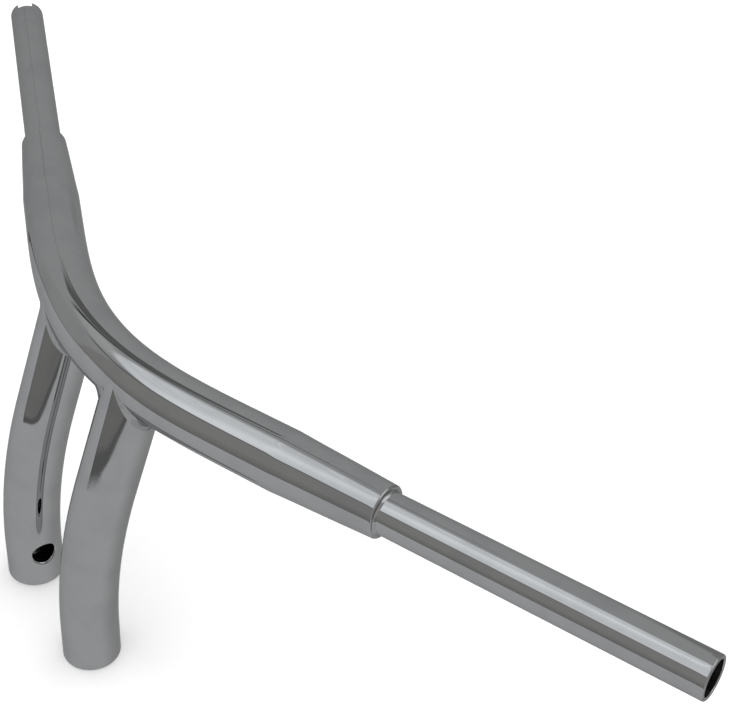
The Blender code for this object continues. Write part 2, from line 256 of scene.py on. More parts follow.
def openWindow(skin, rings, alongs, radius, hole, depthDirection, material):
    # joins the rings all round, but leaves a window, and fills it with rings that close in on the hole
    firstRow, lastRow, firstColumn, lastColumn = windowOf(skin, alongs, hole)
    border = [(firstRow, i) for i in range(firstColumn, lastColumn)]
    border += [(j, lastColumn) for j in range(firstRow, lastRow)]
    border += [(lastRow, i) for i in range(lastColumn, firstColumn, -1)]
    border += [(j, firstColumn) for j in range(lastRow, firstRow, -1)]
    centre = skin["frameAt"](hole["along"])
    outward = centre.to_3x3() @ Vector((math.cos(hole["turn"]), math.sin(hole["turn"]), 0))
    starts = [(skin["turns"][i], alongs[j]) for j, i in border]
    angles = []
    for turn, along in starts:
        aside = hole["tubeRadius"] * math.sin(turn - hole["turn"])
        angles.append(math.atan2(along - hole["along"], aside))
    rounding = hole["rounding"] if depthDirection < 0 else hole["innerRounding"]
    edge = [aimOnTube(skin, radius, hole, *outlineOf(hole, angle, rounding)) for angle in angles]
    loops = [[rings[j][i] for j, i in border]]
    for share in windowSteps:
        loop = []
        for start, finish in zip(starts, edge):
            turn = start[0] + (finish[0] - start[0]) * share
            along = start[1] + (finish[1] - start[1]) * share
            loop.append(addPoint(skin, *onTube(skin, turn, along, radius)))
        loops.append(loop)
    for bend in quarterTurns(hole["steps"])[1:]:
        loop = []
        grow, depth = rounding * (1 - math.sin(bend)), rounding * (1 - math.cos(bend))
        for angle in angles:
            turn, along = aimOnTube(skin, radius, hole, *outlineOf(hole, angle, grow))
            place, flat = onTube(skin, turn, along, radius)
            loop.append(addPoint(skin, place + outward * depthDirection * depth, flat))
        loops.append(loop)
    for count, (loop, following) in enumerate(zip(loops, loops[1:])):
        onSkin = count <= len(windowSteps)
        joinRings(skin, loop, following, material if onSkin else hole["material"])
    return (firstRow, lastRow, firstColumn, lastColumn), loops[-1]


def joinDrilled(skin, rings, alongs, radius, holes, depthDirection, material):
    # rings with windows; gives back each hole's last loop
    windows, rims = [], []
    for hole in holes:
        window, rim = openWindow(skin, rings, alongs, radius, hole, depthDirection, material)
        windows.append(window)
        rims.append(rim)
    for row, (ring, following) in enumerate(zip(rings, rings[1:])):
        gap = (0, 0)
        for firstRow, lastRow, firstColumn, lastColumn in windows:
            if firstRow <= row < lastRow:
                gap = (firstColumn, lastColumn)
        joinRings(skin, ring, following, material, gap)
    return rims


def makePiece(name, work, materials, slotName, *nodes):
    bmesh.ops.recalc_face_normals(work, faces=work.faces)
    mesh = bpy.data.meshes.new(name)
    work.to_mesh(mesh)
    work.free()
    mesh.shade_smooth()
    mesh.set_sharp_from_angle(angle=sharpAngle)
    for material in materials:
        mesh.materials.append(material)
    piece = bpy.data.objects.new(name, mesh)
    bpy.context.scene.collection.objects.link(piece)
    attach(piece, root)
    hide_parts(*nodes)
    return piece


# Materials

def addNode(tree, kind, **settings):
    node = tree.nodes.new(kind)
    for name, value in settings.items():
        setattr(node, name, value)
    return node


def feed(tree, node, name, value):
    if isinstance(value, bpy.types.NodeSocket):
        tree.links.new(value, node.inputs[name])
    else:
        node.inputs[name].default_value = value


def calc(tree, operation, *values, clamp=False):
    node = addNode(tree, "ShaderNodeMath", operation=operation, use_clamp=clamp)
    for index, value in enumerate(values):
        feed(tree, node, index, value)
    return node.outputs[0]


def rangeOf(tree, value, low, high, lowTo=0.0, highTo=1.0, smooth=True):
    kind = "SMOOTHSTEP" if smooth else "LINEAR"
    node = addNode(tree, "ShaderNodeMapRange", interpolation_type=kind)
    for name, number in (("Value", value), ("From Min", low), ("From Max", high)):
        feed(tree, node, name, number)
    feed(tree, node, "To Min", lowTo)
    feed(tree, node, "To Max", highTo)
    return node.outputs[0]


def mixOf(tree, share, first, second):
    node = addNode(tree, "ShaderNodeMix", data_type="RGBA")
    for index, value in ((0, share), (6, first), (7, second)):
        if isinstance(value, bpy.types.NodeSocket):
            tree.links.new(value, node.inputs[index])
        else:
            node.inputs[index].default_value = value
    return node.outputs[2]


def noiseOf(tree, where, scale, detail=2.0, roughness=0.5, stretch=None):
    if stretch:
        mapping = addNode(tree, "ShaderNodeMapping")
        feed(tree, mapping, "Vector", where)
        mapping.inputs["Scale"].default_value = stretch
        where = mapping.outputs[0]
    node = addNode(tree, "ShaderNodeTexNoise")
    feed(tree, node, "Vector", where)
    feed(tree, node, "Scale", scale)
    feed(tree, node, "Detail", detail)
    feed(tree, node, "Roughness", roughness)
    return node.outputs["Fac"]


def newMetal(name, look):
    material = bpy.data.materials.new(name)
    material.use_nodes = True
    tree = material.node_tree
    shader = tree.nodes["Principled BSDF"]
    shader.inputs["Metallic"].default_value = look["metallic"]
    shader.inputs["Specular Tint"].default_value = look.get("edge", (0.7, 0.7, 0.7, 1))
    place = addNode(tree, "ShaderNodeAttribute", attribute_name="lay").outputs["Vector"]
    return material, tree, shader, place


def bumpFrom(tree, shader, heights):
    # heights: (height, distance in metres) pairs, laid over each other
    normal = None
    for height, distance in heights:
        bump = addNode(tree, "ShaderNodeBump")
        bump.inputs["Distance"].default_value = distance
        feed(tree, bump, "Height", height)
        if normal:
            tree.links.new(normal, bump.inputs["Normal"])
        normal = bump.outputs[0]
    tree.links.new(normal, shader.inputs["Normal"])


def redOf(tree, color):
    parts = addNode(tree, "ShaderNodeSeparateColor")
    tree.links.new(color, parts.inputs[0])
    return parts.outputs[0]


chromeLook = dict(
    metallic=1.0,
    color=(0.595, 0.600, 0.604, 1),
    haze=(0.555, 0.562, 0.570, 1),  # where a wipe has left a film
    pit=(0.10, 0.095, 0.085, 1),
    roughness=(0.018, 0.055),
    pitSpacing=0.011,
    pitSize=0.00022,
)


def makeChrome(name, look):
    material, tree, shader, place = newMetal(name, look)
    film = rangeOf(tree, noiseOf(tree, place, 38, 3, 0.55), 0.42, 0.68)
    wipes = noiseOf(tree, place, 1, 3, 0.6, stretch=(900, 900, 36))
    rings = noiseOf(tree, place, 1, 2, 0.5, stretch=(60, 60, 2600))
    grains = addNode(tree, "ShaderNodeTexVoronoi", feature="F1")
    feed(tree, grains, "Vector", place)
    feed(tree, grains, "Scale", 1 / look["pitSpacing"])
    size = look["pitSize"] / look["pitSpacing"]
    chosen = calc(tree, "GREATER_THAN", redOf(tree, grains.outputs["Color"]), 0.72)
    pits = rangeOf(tree, grains.outputs["Distance"], size * 0.4, size, 1, 0)
    pits = calc(tree, "MULTIPLY", pits, chosen)
    color = mixOf(tree, film, look["color"], look["haze"])
    tree.links.new(mixOf(tree, pits, color, look["pit"]), shader.inputs["Base Color"])
    low, high = look["roughness"]
    rough = rangeOf(tree, wipes, 0.3, 0.75, low, low + 0.4 * (high - low))
    rough = calc(tree, "ADD", rough, calc(tree, "MULTIPLY", film, 0.6 * (high - low)))
    rough = calc(tree, "ADD", rough, calc(tree, "MULTIPLY", pits, 0.3))
    tree.links.new(rough, shader.inputs["Roughness"])
    peel = noiseOf(tree, place, 420, 2, 0.5)
    sunk = calc(tree, "SUBTRACT", 1.0, pits)
    bumpFrom(tree, shader, ((peel, 1.4e-6), (rings, 2.5e-7), (wipes, 2.0e-7), (sunk, 3e-5)))
    return material


weldLook = dict(
    metallic=1.0,
    color=(0.570, 0.574, 0.577, 1),
    dull=(0.47, 0.472, 0.472, 1),
    roughness=(0.05, 0.17),
)


def makeWeldChrome(name, look):
    material, tree, shader, place = newMetal(name, look)
    where = addNode(tree, "ShaderNodeTexCoord").outputs["Object"]
    patches = rangeOf(tree, noiseOf(tree, where, 210, 4, 0.6), 0.40, 0.70)
    marks = noiseOf(tree, where, 900, 3, 0.6)
    tree.links.new(mixOf(tree, patches, look["color"], look["dull"]), shader.inputs["Base Color"])
    tree.links.new(rangeOf(tree, patches, 0, 1, *look["roughness"]), shader.inputs["Roughness"])
    bumpFrom(tree, shader, ((noiseOf(tree, where, 260, 2, 0.5), 9e-6), (marks, 2.5e-6)))
    return material


boreLook = dict(
    metallic=0.85,
    color=(0.050, 0.048, 0.046, 1),
    scale=(0.020, 0.018, 0.016, 1),  # mill scale and old oil
    rust=(0.085, 0.045, 0.024, 1),
    roughness=(0.38, 0.68),
)


def makeBoreSteel(name, look):
    material, tree, shader, place = newMetal(name, look)
    drawn = noiseOf(tree, place, 1, 4, 0.65, stretch=(1400, 1400, 55))
    blotches = noiseOf(tree, place, 130, 4, 0.6)
    color = mixOf(tree, rangeOf(tree, blotches, 0.38, 0.62), look["color"], look["scale"])
    specks = rangeOf(tree, noiseOf(tree, place, 700, 3, 0.6), 0.62, 0.74)
    tree.links.new(mixOf(tree, specks, color, look["rust"]), shader.inputs["Base Color"])
    tree.links.new(rangeOf(tree, drawn, 0.3, 0.7, *look["roughness"]), shader.inputs["Roughness"])
    bumpFrom(tree, shader, ((drawn, 3e-5), (blotches, 4e-5)))
    return material


bungLook = dict(
    metallic=1.0,
    color=(0.43, 0.425, 0.415, 1),
    oil=(0.22, 0.205, 0.185, 1),
    roughness=(0.22, 0.42),
    toolPitch=0.00022,
)


def makeBungSteel(name, look):
    material, tree, shader, place = newMetal(name, look)
    parts = addNode(tree, "ShaderNodeSeparateXYZ")
    tree.links.new(place, parts.inputs[0])
    flatPlace = addNode(tree, "ShaderNodeCombineXYZ")
    tree.links.new(parts.outputs[0], flatPlace.inputs[0])
    tree.links.new(parts.outputs[1], flatPlace.inputs[1])
    length = addNode(tree, "ShaderNodeVectorMath", operation="LENGTH")
    tree.links.new(flatPlace.outputs[0], length.inputs[0])
    turned = calc(tree, "MULTIPLY", length.outputs["Value"], 2 * math.pi / look["toolPitch"])
    turned = calc(tree, "SINE", turned)
    stains = rangeOf(tree, noiseOf(tree, place, 260, 4, 0.6), 0.45, 0.68)
    tree.links.new(mixOf(tree, stains, look["color"], look["oil"]), shader.inputs["Base Color"])
    tree.links.new(rangeOf(tree, stains, 0, 1, *look["roughness"]), shader.inputs["Roughness"])
    bumpFrom(tree, shader, ((turned, 2.5e-6), (noiseOf(tree, place, 1500, 2, 0.5), 5e-6)))
    return material


chrome = makeChrome("mirrorChrome", chromeLook)
weldChrome = makeWeldChrome("platedWeld", weldLook)
boreSteel = makeBoreSteel("boreSteel", boreLook)
bungSteel = makeBungSteel("turnedSteel", bungLook)
print("materials ready")


# Centre tube

centerTube = dict(
    diameter=0.0381,
    wall=0.0030,
    taper=0.0695,  # swaged length before each step
    taperEase=0.035,  # share by which the swage's ends flow into the tube
    stepDiameter=0.03175,
    shoulder=0.0014,  # rounding of the step's edge
    seatBevel=0.0003,
    spigot=0.040,  # of the grip tubes, inside
    columns=144,
    rowStep=0.0038,
    wave=0.000012,
    barHole=0.019,
)
gripTube = dict(
    diameter=0.0254,
    wall=0.0024,
    endRounding=0.0010,
    innerRounding=0.0006,
    columns=120,
    rowStep=0.0042,
    wave=0.000010,
    burr=0.00012,
    slotLength=0.019,
    slotWidth=0.0095,
    slotFromStep=0.012,
    notchWidth=0.0111,
    notchDepth=0.00635,
    notchTurn=math.radians(-5.0),
    notchCorner=0.0012,
    cutterOverrun=0.004,  # how far the notch's cutter stands past the end
    cutterReach=0.020,  # and to either side
    spigotGap=0.0005,
    spigotRow=0.010,
    weldRow=0.003,
    slotRow=0.0015,
    slotWindow=0.015,  # the slot's finer rows reach this far to either side of its middle
)


def centerRadius(along):
    half, step = barLine["centerHalf"], centerTube["stepDiameter"] / 2
    full = centerTube["diameter"] / 2
    share = blendBetween(abs(along), half - centerTube["taper"], half)
    eased = share + centerTube["taperEase"] * math.sin(2 * math.pi * share) * (1 - share)
    return full + (step - full) * eased


def centerBore(along):
    half = barLine["centerHalf"]
    share = blendBetween(abs(along), half - centerTube["taper"], half - centerTube["spigot"])
    full = centerTube["diameter"] / 2 - centerTube["wall"]
    return full + (gripTube["diameter"] / 2 - full) * share


def downwardTurn(frameAt, along):
    down = frameAt(along).to_3x3().transposed() @ Vector((0, 0, -1))
    return math.atan2(down.y, down.x) % (2 * math.pi)


def makeCenterTube():
    half, corner = barLine["centerHalf"], centerTube["shoulder"]
    downTurn = downwardTurn(barFrame, junction)
    skin = newSkin(barFrame, centerTube["columns"], downTurn - math.pi)
    alongs = spread(-half + corner, half - corner, centerTube["rowStep"])
    outerRadius = centerTube["diameter"] / 2
    boreRadius = outerRadius - centerTube["wall"]
    holes = [
        dict(
            turn=downTurn,
            along=side * junction,
            diameter=centerTube["barHole"],
            tubeRadius=outerRadius,
            margin=0.005,
            rounding=0.0003,
            innerRounding=0.0003,
            steps=2,
            material=1,
        )
        for side in (-1, 1)
    ]
    outer = [addRing(skin, along, centerRadius(along), centerTube["wave"]) for along in alongs]
    inner = [addRing(skin, along, centerBore(along)) for along in alongs]
    outerRims = joinDrilled(skin, outer, alongs, outerRadius, holes, -1, 0)
    innerRims = joinDrilled(skin, inner, alongs, boreRadius, holes, 1, 1)
    for outerRim, innerRim in zip(outerRims, innerRims):
        joinRings(skin, outerRim, innerRim, 1)
    seat, bevel = gripTube["diameter"] / 2, centerTube["seatBevel"]
    for side, outerEnd, innerEnd in ((-1, outer[0], inner[0]), (1, outer[-1], inner[-1])):
        rings = [outerEnd]
        for bend in quarterTurns(9)[1:]:
            along = side * (half - corner + corner * math.sin(bend))
            rings.append(addRing(skin, along, centerRadius(along) - corner * (1 - math.cos(bend))))
        rings.append(addRing(skin, side * half, seat + bevel))
        rings.append(addRing(skin, side * (half - bevel), seat))
        rings.append(innerEnd)
        joinAll(skin, rings)
    return makePiece("center_tube_chromed", skin["work"], (chrome, boreSteel), "tube_chrome", "center_tube")


makeCenterTube()
print("centre tube made")


# Grip tubes

def notchCutter():
    # a bar with rounded corners, across the end
    half, depth = gripTube["notchWidth"] / 2, gripTube["notchDepth"]
    corner, reach = gripTube["notchCorner"], gripTube["cutterReach"]
    outline = [(-half, gripTube["cutterOverrun"]), (half, gripTube["cutterOverrun"])]
    outline += [
        (half - corner + corner * math.cos(bend), -depth + corner - corner * math.sin(bend))
        for bend in quarterTurns(5)
    ]
    outline += [
        (-half + corner - corner * math.sin(bend), -depth + corner - corner * math.cos(bend))
        for bend in quarterTurns(5)
    ]
    end = barFrame(barHalf)
    tangent = end.col[2].to_3d()
    upward = (Vector((0, 0, 1)) - tangent * tangent.z).normalized()
    placement = frameOf(end.translation, upward, tangent) @ Matrix.Rotation(gripTube["notchTurn"], 4, "Z")
    work = bmesh.new()
    near = [work.verts.new(placement @ Vector((-reach, across, along))) for across, along in outline]
    far = [work.verts.new(placement @ Vector((reach, across, along))) for across, along in outline]
    work.faces.new(near)
    work.faces.new(far)
    for index in range(len(near)):
        after = (index + 1) % len(near)
        work.faces.new((near[index], near[after], far[after], far[index]))
    bmesh.ops.recalc_face_normals(work, faces=work.faces)
    mesh = bpy.data.meshes.new("notchCutter")
    work.to_mesh(mesh)
    work.free()
    cutter = bpy.data.objects.new("notchCutter", mesh)
    bpy.context.scene.collection.objects.link(cutter)
    return cutter


def cutNotch(piece):
    cutter = notchCutter()
    modifier = piece.modifiers.new("notch", "BOOLEAN")
    modifier.operation = "DIFFERENCE"
    modifier.solver = "EXACT"
    modifier.object = cutter
    graph = bpy.context.evaluated_depsgraph_get()
    notched = bpy.data.meshes.new_from_object(piece.evaluated_get(graph))
    piece.modifiers.remove(modifier)
    piece.data = notched
    notched.shade_smooth()
    notched.set_sharp_from_angle(angle=sharpAngle)
    bpy.data.objects.remove(cutter)


def makeGripTube(side, label):
    def gripFrame(along):
        return outwardFrame(side, along)

    half, end = barLine["centerHalf"], barHalf
    outerRadius = gripTube["diameter"] / 2
    bore = outerRadius - gripTube["wall"]
    downTurn = downwardTurn(gripFrame, end)
    skin = newSkin(gripFrame, gripTube["columns"], downTurn - math.pi)
    start = half - centerTube["spigot"] + gripTube["spigotGap"]
    slotAlong = half + gripTube["slotFromStep"] + gripTube["slotLength"] / 2
    slotEnds = [slotAlong - gripTube["slotWindow"], slotAlong + gripTube["slotWindow"]]
    alongs = spread(start, half, gripTube["spigotRow"])[:-1]
    alongs += spread(half, slotEnds[0], gripTube["weldRow"])[:-1]
    alongs += spread(slotEnds[0], slotEnds[1], gripTube["slotRow"])[:-1]
    alongs += spread(slotEnds[1], end - gripTube["endRounding"], gripTube["rowStep"])
    slot = dict(
        turn=downTurn,
        along=slotAlong,
        diameter=gripTube["slotWidth"],
        length=gripTube["slotLength"],
        tubeRadius=outerRadius,
        margin=0.0028,
        rounding=0.0005,
        innerRounding=0.0003,
        steps=4,
        material=0,
    )
    outer = []
    for along in alongs:
        polished = along > half + 0.002  # past the weld
        outer.append(addRing(skin, along, outerRadius, gripTube["wave"] if polished else 0))
    inner = [addRing(skin, along, bore) for along in alongs]
    outerRim = joinDrilled(skin, outer, alongs, outerRadius, [slot], -1, 0)[0]
    innerRim = joinDrilled(skin, inner, alongs, bore, [slot], 1, 1)[0]
    joinRings(skin, outerRim, innerRim, 0)
    joinRings(skin, outer[0], inner[0], 1)

    corner, innerCorner = gripTube["endRounding"], gripTube["innerRounding"]
    rings = [outer[-1]]
    for bend in quarterTurns(7)[1:]:
        along = end - corner + corner * math.sin(bend)
        rings.append(addRing(skin, along, outerRadius - corner * (1 - math.cos(bend))))

    def raggedBore(extra):
        # the saw leaves a slight burr inside
        return lambda turn: bore + extra - gripTube["burr"] * abs(
            noise.noise(Vector((6 * math.cos(turn), 6 * math.sin(turn), side)))
        )

    for bend in quarterTurns(4):
        along = end - innerCorner * (1 - math.cos(bend))
        rings.append(addRing(skin, along, raggedBore(innerCorner * (1 - math.sin(bend)))))
    joinAll(skin, rings)
    joinRings(skin, rings[-1], inner[-1], 1)
    name = label + "_grip_tube_chromed"
    piece = makePiece(name, skin["work"], (chrome, boreSteel), "tube_chrome", label + "_grip_tube")
    if side > 0:
        cutNotch(piece)
    return piece


stepWeld = dict(
    legAlong=0.0018,
    legUp=0.0015,
    ripples=46,
    rippleHeight=0.00008,
    unevenness=0.00030,
    crown=0.00022,
    sunk=0.0002,  # how far the bead's root lies in the grip tube
    overlap=0.0003,  # and in the centre tube
    columns=180,
)


def makeStepWeld(side, label):
    def weldFrame(along):
        return outwardFrame(side, along)

    half, tubeRadius = barLine["centerHalf"], gripTube["diameter"] / 2
    behind, below = half - stepWeld["overlap"], tubeRadius - stepWeld["sunk"]
    skin = newSkin(weldFrame, stepWeld["columns"])
    rings = [addRing(skin, behind, below), addRing(skin, behind, tubeRadius + stepWeld["legUp"])]
    for share in spread(0, 1, 0.1):
        bend = share * math.pi / 2
        along = half - 0.0001 + stepWeld["legAlong"] * (1 - math.cos(bend))
        height = stepWeld["legUp"] * (1 - math.sin(bend))
        swell = math.sin(share * math.pi)

        def bead(turn, height=height, swell=swell):
            uneven = noise.noise(Vector((2.6 * math.cos(turn), 2.6 * math.sin(turn), 5 * side)))
            ripple = abs(math.sin(stepWeld["ripples"] / 2 * turn + 2.5 * uneven))
            lift = stepWeld["unevenness"] * uneven + stepWeld["rippleHeight"] * ripple
            return tubeRadius + height + swell * (lift + stepWeld["crown"])

        rings.append(addRing(skin, along, bead))
    rings.append(addRing(skin, half + stepWeld["legAlong"], below))
    joinAll(skin, rings, closed=True)
    name = label + "_step_weld_bead"
    return makePiece(name, skin["work"], (weldChrome,), "weld_chrome", label + "_step_weld")


for side, label in ((-1, "left"), (1, "right")):
    makeGripTube(side, label)
    makeStepWeld(side, label)
print("grip tubes made")


# Risers

riserTube = dict(
    diameter=(leftHigh.x - leftLow.x),
    wall=0.0030,
    footRounding=0.0012,
    groove=0.0015,
    columns=144,
    rowStep=0.0032,
    wave=0.000010,
    wireHole=0.0159,
    wireHoleHeight=0.028,
    footRow=0.0016,
    holeRow=0.00125,
    holeWindow=0.0125,  # the hole's finer rows reach this far above and below its middle
    copeStart=0.165,
    embed=0.00012,  # how far the cope runs into the bar's wall
)


def nearestOnBar(point, along):
    for _ in range(6):
        here = barFrame(along)
        along += (point - here.translation).dot(here.col[2].to_3d())
    return barFrame(along).translation


def copeAlong(skin, side, turn, radius):
    # how far up the riser this line of its skin runs before it is in the bar
    target = centerTube["diameter"] / 2 - riserTube["embed"]
    low, high = riserTube["copeStart"] + 0.004, riserLine["length"]
    for _ in range(16):
        middle = (low + high) / 2
        place, _flat = onTube(skin, turn, middle, radius)
        if (place - nearestOnBar(place, side * junction)).length > target:
            low = middle
        else:
            high = middle
    return low


def makeRiserTube(side, label):
    def frameHere(along):
        return riserFrame(side, along)

    outerRadius = riserTube["diameter"] / 2
    bore = outerRadius - riserTube["wall"]
    inboard = 0.0 if side < 0 else math.pi
    skin = newSkin(frameHere, riserTube["columns"], inboard - math.pi)
    foot, height = riserTube["footRounding"], riserTube["wireHoleHeight"]
    below, above = height - riserTube["holeWindow"], height + riserTube["holeWindow"]
    alongs = spread(foot, below, riserTube["footRow"])[:-1]
    alongs += spread(below, above, riserTube["holeRow"])[:-1]
    alongs += spread(above, riserTube["copeStart"], riserTube["rowStep"])
    hole = dict(
        turn=inboard,
        along=height,
        diameter=riserTube["wireHole"],
        tubeRadius=outerRadius,
        margin=0.0036,
        rounding=0.0016,
        innerRounding=0.0004,
        steps=7,
        material=0,
    )
    outer = []
    for along in alongs:  # the waves fade out towards the foot
        wave = riserTube["wave"] * blendBetween(along, 0.0, 0.02)
        outer.append(addRing(skin, along, outerRadius, wave))
    inner = [addRing(skin, along, bore) for along in alongs]
    outerRim = joinDrilled(skin, outer, alongs, outerRadius, [hole], -1, 0)[0]
    innerRim = joinDrilled(skin, inner, alongs, bore, [hole], 1, 1)[0]
    joinRings(skin, outerRim, innerRim, 0)

    tops = []
    for radius, last, material in ((outerRadius, outer[-1], 0), (bore, inner[-1], 1)):
        ends = [copeAlong(skin, side, turn, radius) for turn in skin["turns"]]
        rings = [last]
        for share in spread(0, 1, 0.075)[1:]:
            rows = [alongs[-1] + (end - alongs[-1]) * share for end in ends]
            wave = riserTube["wave"] * (1 - share) if material == 0 else 0
            rings.append(addRing(skin, rows, radius, wave))
        joinAll(skin, rings, material)
        tops.append(rings[-1])
    joinRings(skin, tops[0], tops[1], 1)

    rings = [outer[0]]
    for bend in quarterTurns(7)[1:]:
        radius = outerRadius - foot * (1 - math.cos(bend))
        rings.append(addRing(skin, foot - foot * math.sin(bend), radius))
    rings.append(addRing(skin, 0, bore + riserTube["groove"]))
    rings.append(addRing(skin, riserTube["groove"], bore))
    joinAll(skin, rings)
    joinRings(skin, rings[-1], inner[0], 1)
    name = label + "_riser_tube_chromed"
    return makePiece(name, skin["work"], (chrome, boreSteel), "tube_chrome", label + "_riser_tube")


bung = dict(
    threadPitch=0.0019538,
    threadDepth=0.0010,
    boreDiameter=0.012,  # at the middle of the thread's depth
    mouth=0.0011,
    slip=0.0002,  # to the riser's bore
    columns=96,
    threadRow=0.00022,
    weldWidth=0.0019,
    weldDepth=0.0012,
    weldColumns=128,
)


def makeBung(side, label):
    def frameHere(along):
        return riserFrame(side, along)

    skin = newSkin(frameHere, bung["columns"])
    outerRadius = riserTube["diameter"] / 2 - riserTube["wall"] - bung["slip"]
    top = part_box(label + "_riser_bung")[1].z
    bore, groove = bung["boreDiameter"] / 2, riserTube["groove"]

    def threaded(along):
        def radius(turn):
            phase = (along / bung["threadPitch"] - turn / (2 * math.pi)) % 1
            return bore + bung["threadDepth"] * (2 * abs(phase - 0.5) - 0.5)

        return radius

    mouth = bore + bung["mouth"]
    profile = [(0, mouth), (0, outerRadius - groove), (groove, outerRadius), (top, outerRadius), (top, mouth)]
    rings = [addRing(skin, along, radius) for along, radius in profile]
    for along in reversed(spread(bung["mouth"] / 2, top - bung["mouth"] / 2, bung["threadRow"])):
        rings.append(addRing(skin, along, threaded(along)))
    joinAll(skin, rings, closed=True)
    makePiece(label + "_threaded_bung", skin["work"], (bungSteel,), "bung_steel", label + "_riser_bung")

    skin = newSkin(frameHere, bung["weldColumns"])
    middle = outerRadius + 0.0001

    def ground(turn, amount):
        # ground flush, with the bead's low spots left in it
        low = noise.noise(Vector((5 * math.cos(turn), 5 * math.sin(turn), 3 * side + amount)))
        return 0.00003 + 0.00010 * max(low, 0) + 0.00003 * abs(math.sin(21 * turn + 3 * low))

    rings = [addRing(skin, bung["weldDepth"], middle)]
    for share in (-1, -0.6, -0.2, 0.2, 0.6, 1):
        heights = [ground(turn, share) * (1.15 - share**2) for turn in skin["turns"]]
        rings.append(addRing(skin, heights, middle + share * bung["weldWidth"] / 2 * 0.98))
    joinAll(skin, rings, closed=True)
    name = label + "_bung_weld_ring"
    return makePiece(name, skin["work"], (weldChrome,), "weld_chrome", label + "_bung_weld")


riserWeld = dict(
    radius=0.0080,  # of a ball that would rest in the corner
    reach=0.985,  # share of the widest place at which that ball still meets the bar
    flatten=0.70,  # how far the hollow is ground towards flat
    sections=90,
    arcPoints=16,
    ripples=0.00005,
)


def ballRest(side, turn, ball):
    # the centre of a ball that rests against riser and bar, at a turn about the riser
    frameHere = riserFrame(side, riserLine["length"])
    across = frameHere.col[0].to_3d() * math.cos(turn) + frameHere.col[1].to_3d() * math.sin(turn)
    start = frameHere.translation + across * (riserTube["diameter"] / 2 + ball)
    target = centerTube["diameter"] / 2 + ball
    high, low = 0.0, 2 * target
    for _ in range(26):
        drop = (high + low) / 2
        centre = start - frameHere.col[2].to_3d() * drop
        onAxis = nearestOnBar(centre, side * junction)
        if (centre - onAxis).length < target:
            high = drop
        else:
            low = drop
    return centre, across, (onAxis - centre).normalized()


def weldSection(side, turn):
    ball = riserWeld["radius"]
    centre, across, toBar = ballRest(side, turn, ball)
    rootPoint, _, _ = ballRest(side, turn, 0)
    opening = (-across).angle(toBar)
    onRiser, onBar = centre - across * ball, centre + toBar * ball
    points = []
    for index in range(riserWeld["arcPoints"]):
        share = index / (riserWeld["arcPoints"] - 1)
        toward = -across * math.sin((1 - share) * opening) + toBar * math.sin(share * opening)
        hollow = centre + toward * (ball / math.sin(opening))
        chord = onRiser.lerp(onBar, share)
        place = hollow.lerp(chord, riserWeld["flatten"])
        swell = math.sin(share * math.pi)
        lump = noise.noise(place * 260) + 0.5 * noise.noise(place * 620)
        points.append(place + (centre - rootPoint).normalized() * riserWeld["ripples"] * swell * lump)
    points.insert(0, onRiser - across * 0.0004 - (centre - rootPoint) * 0.02)
    points.append(onBar + toBar * 0.0004)
    points.append(rootPoint - across * 0.0012 + toBar * 0.0012)
    return points


def makeRiserWeld(side, facing, name, node):
    barReach = centerTube["diameter"] / 2 + riserWeld["radius"]
    riserReach = riserTube["diameter"] / 2 + riserWeld["radius"]
    reach = math.asin(min(riserWeld["reach"] * (barReach / riserReach), 1))
    work = bmesh.new()
    lay = work.verts.layers.float_vector.new("lay")
    loops = []
    for index in range(riserWeld["sections"]):
        turn = reach * (2 * index / (riserWeld["sections"] - 1) - 1)
        if facing < 0:
            turn = math.pi - turn
        loop = []
        for point in weldSection(side, turn):
            vert = work.verts.new(point)
            vert[lay] = point
            loop.append(vert)
        loops.append(loop)
    for loop, following in zip(loops, loops[1:]):
        for corner in range(len(loop)):
            after = (corner + 1) % len(loop)
            work.faces.new((loop[corner], loop[after], following[after], following[corner]))
    work.faces.new(loops[0])
    work.faces.new(loops[-1])
    return makePiece(name, work, (weldChrome,), "weld_chrome", node)


for side, label in ((-1, "left"), (1, "right")):
    makeRiserTube(side, label)
    makeBung(side, label)
    makeRiserWeld(side, -side, label + "_inner_fillet", label + "_riser_inner_weld")
    makeRiserWeld(side, side, label + "_outer_fillet", label + "_riser_outer_weld")
print("risers made")


# Floor, studio and camera

floorSize = dict(half=6.0, color=(0.95, 0.95, 0.95, 1), mottle=(0.94, 0.94, 0.94, 1))


def makeFloor():
    work = bmesh.new()
    bmesh.ops.create_grid(work, x_segments=24, y_segments=24, size=floorSize["half"])
    mesh = bpy.data.meshes.new("floor")
    work.to_mesh(mesh)
    work.free()
    material = bpy.data.materials.new("paleFloor")
    material.use_nodes = True
    tree = material.node_tree
    shader = tree.nodes["Principled BSDF"]
    shader.inputs["Roughness"].default_value = 0.9
    where = addNode(tree, "ShaderNodeTexCoord").outputs["Object"]
    soft = noiseOf(tree, where, 3.0, 3, 0.5)
    tree.links.new(mixOf(tree, soft, floorSize["color"], floorSize["mottle"]), shader.inputs["Base Color"])
    mesh.materials.append(material)
    floor = bpy.data.objects.new("floor", mesh)
    bpy.context.scene.collection.objects.link(floor)
    floor.visible_glossy = False  # the chrome sees the studio's own table instead


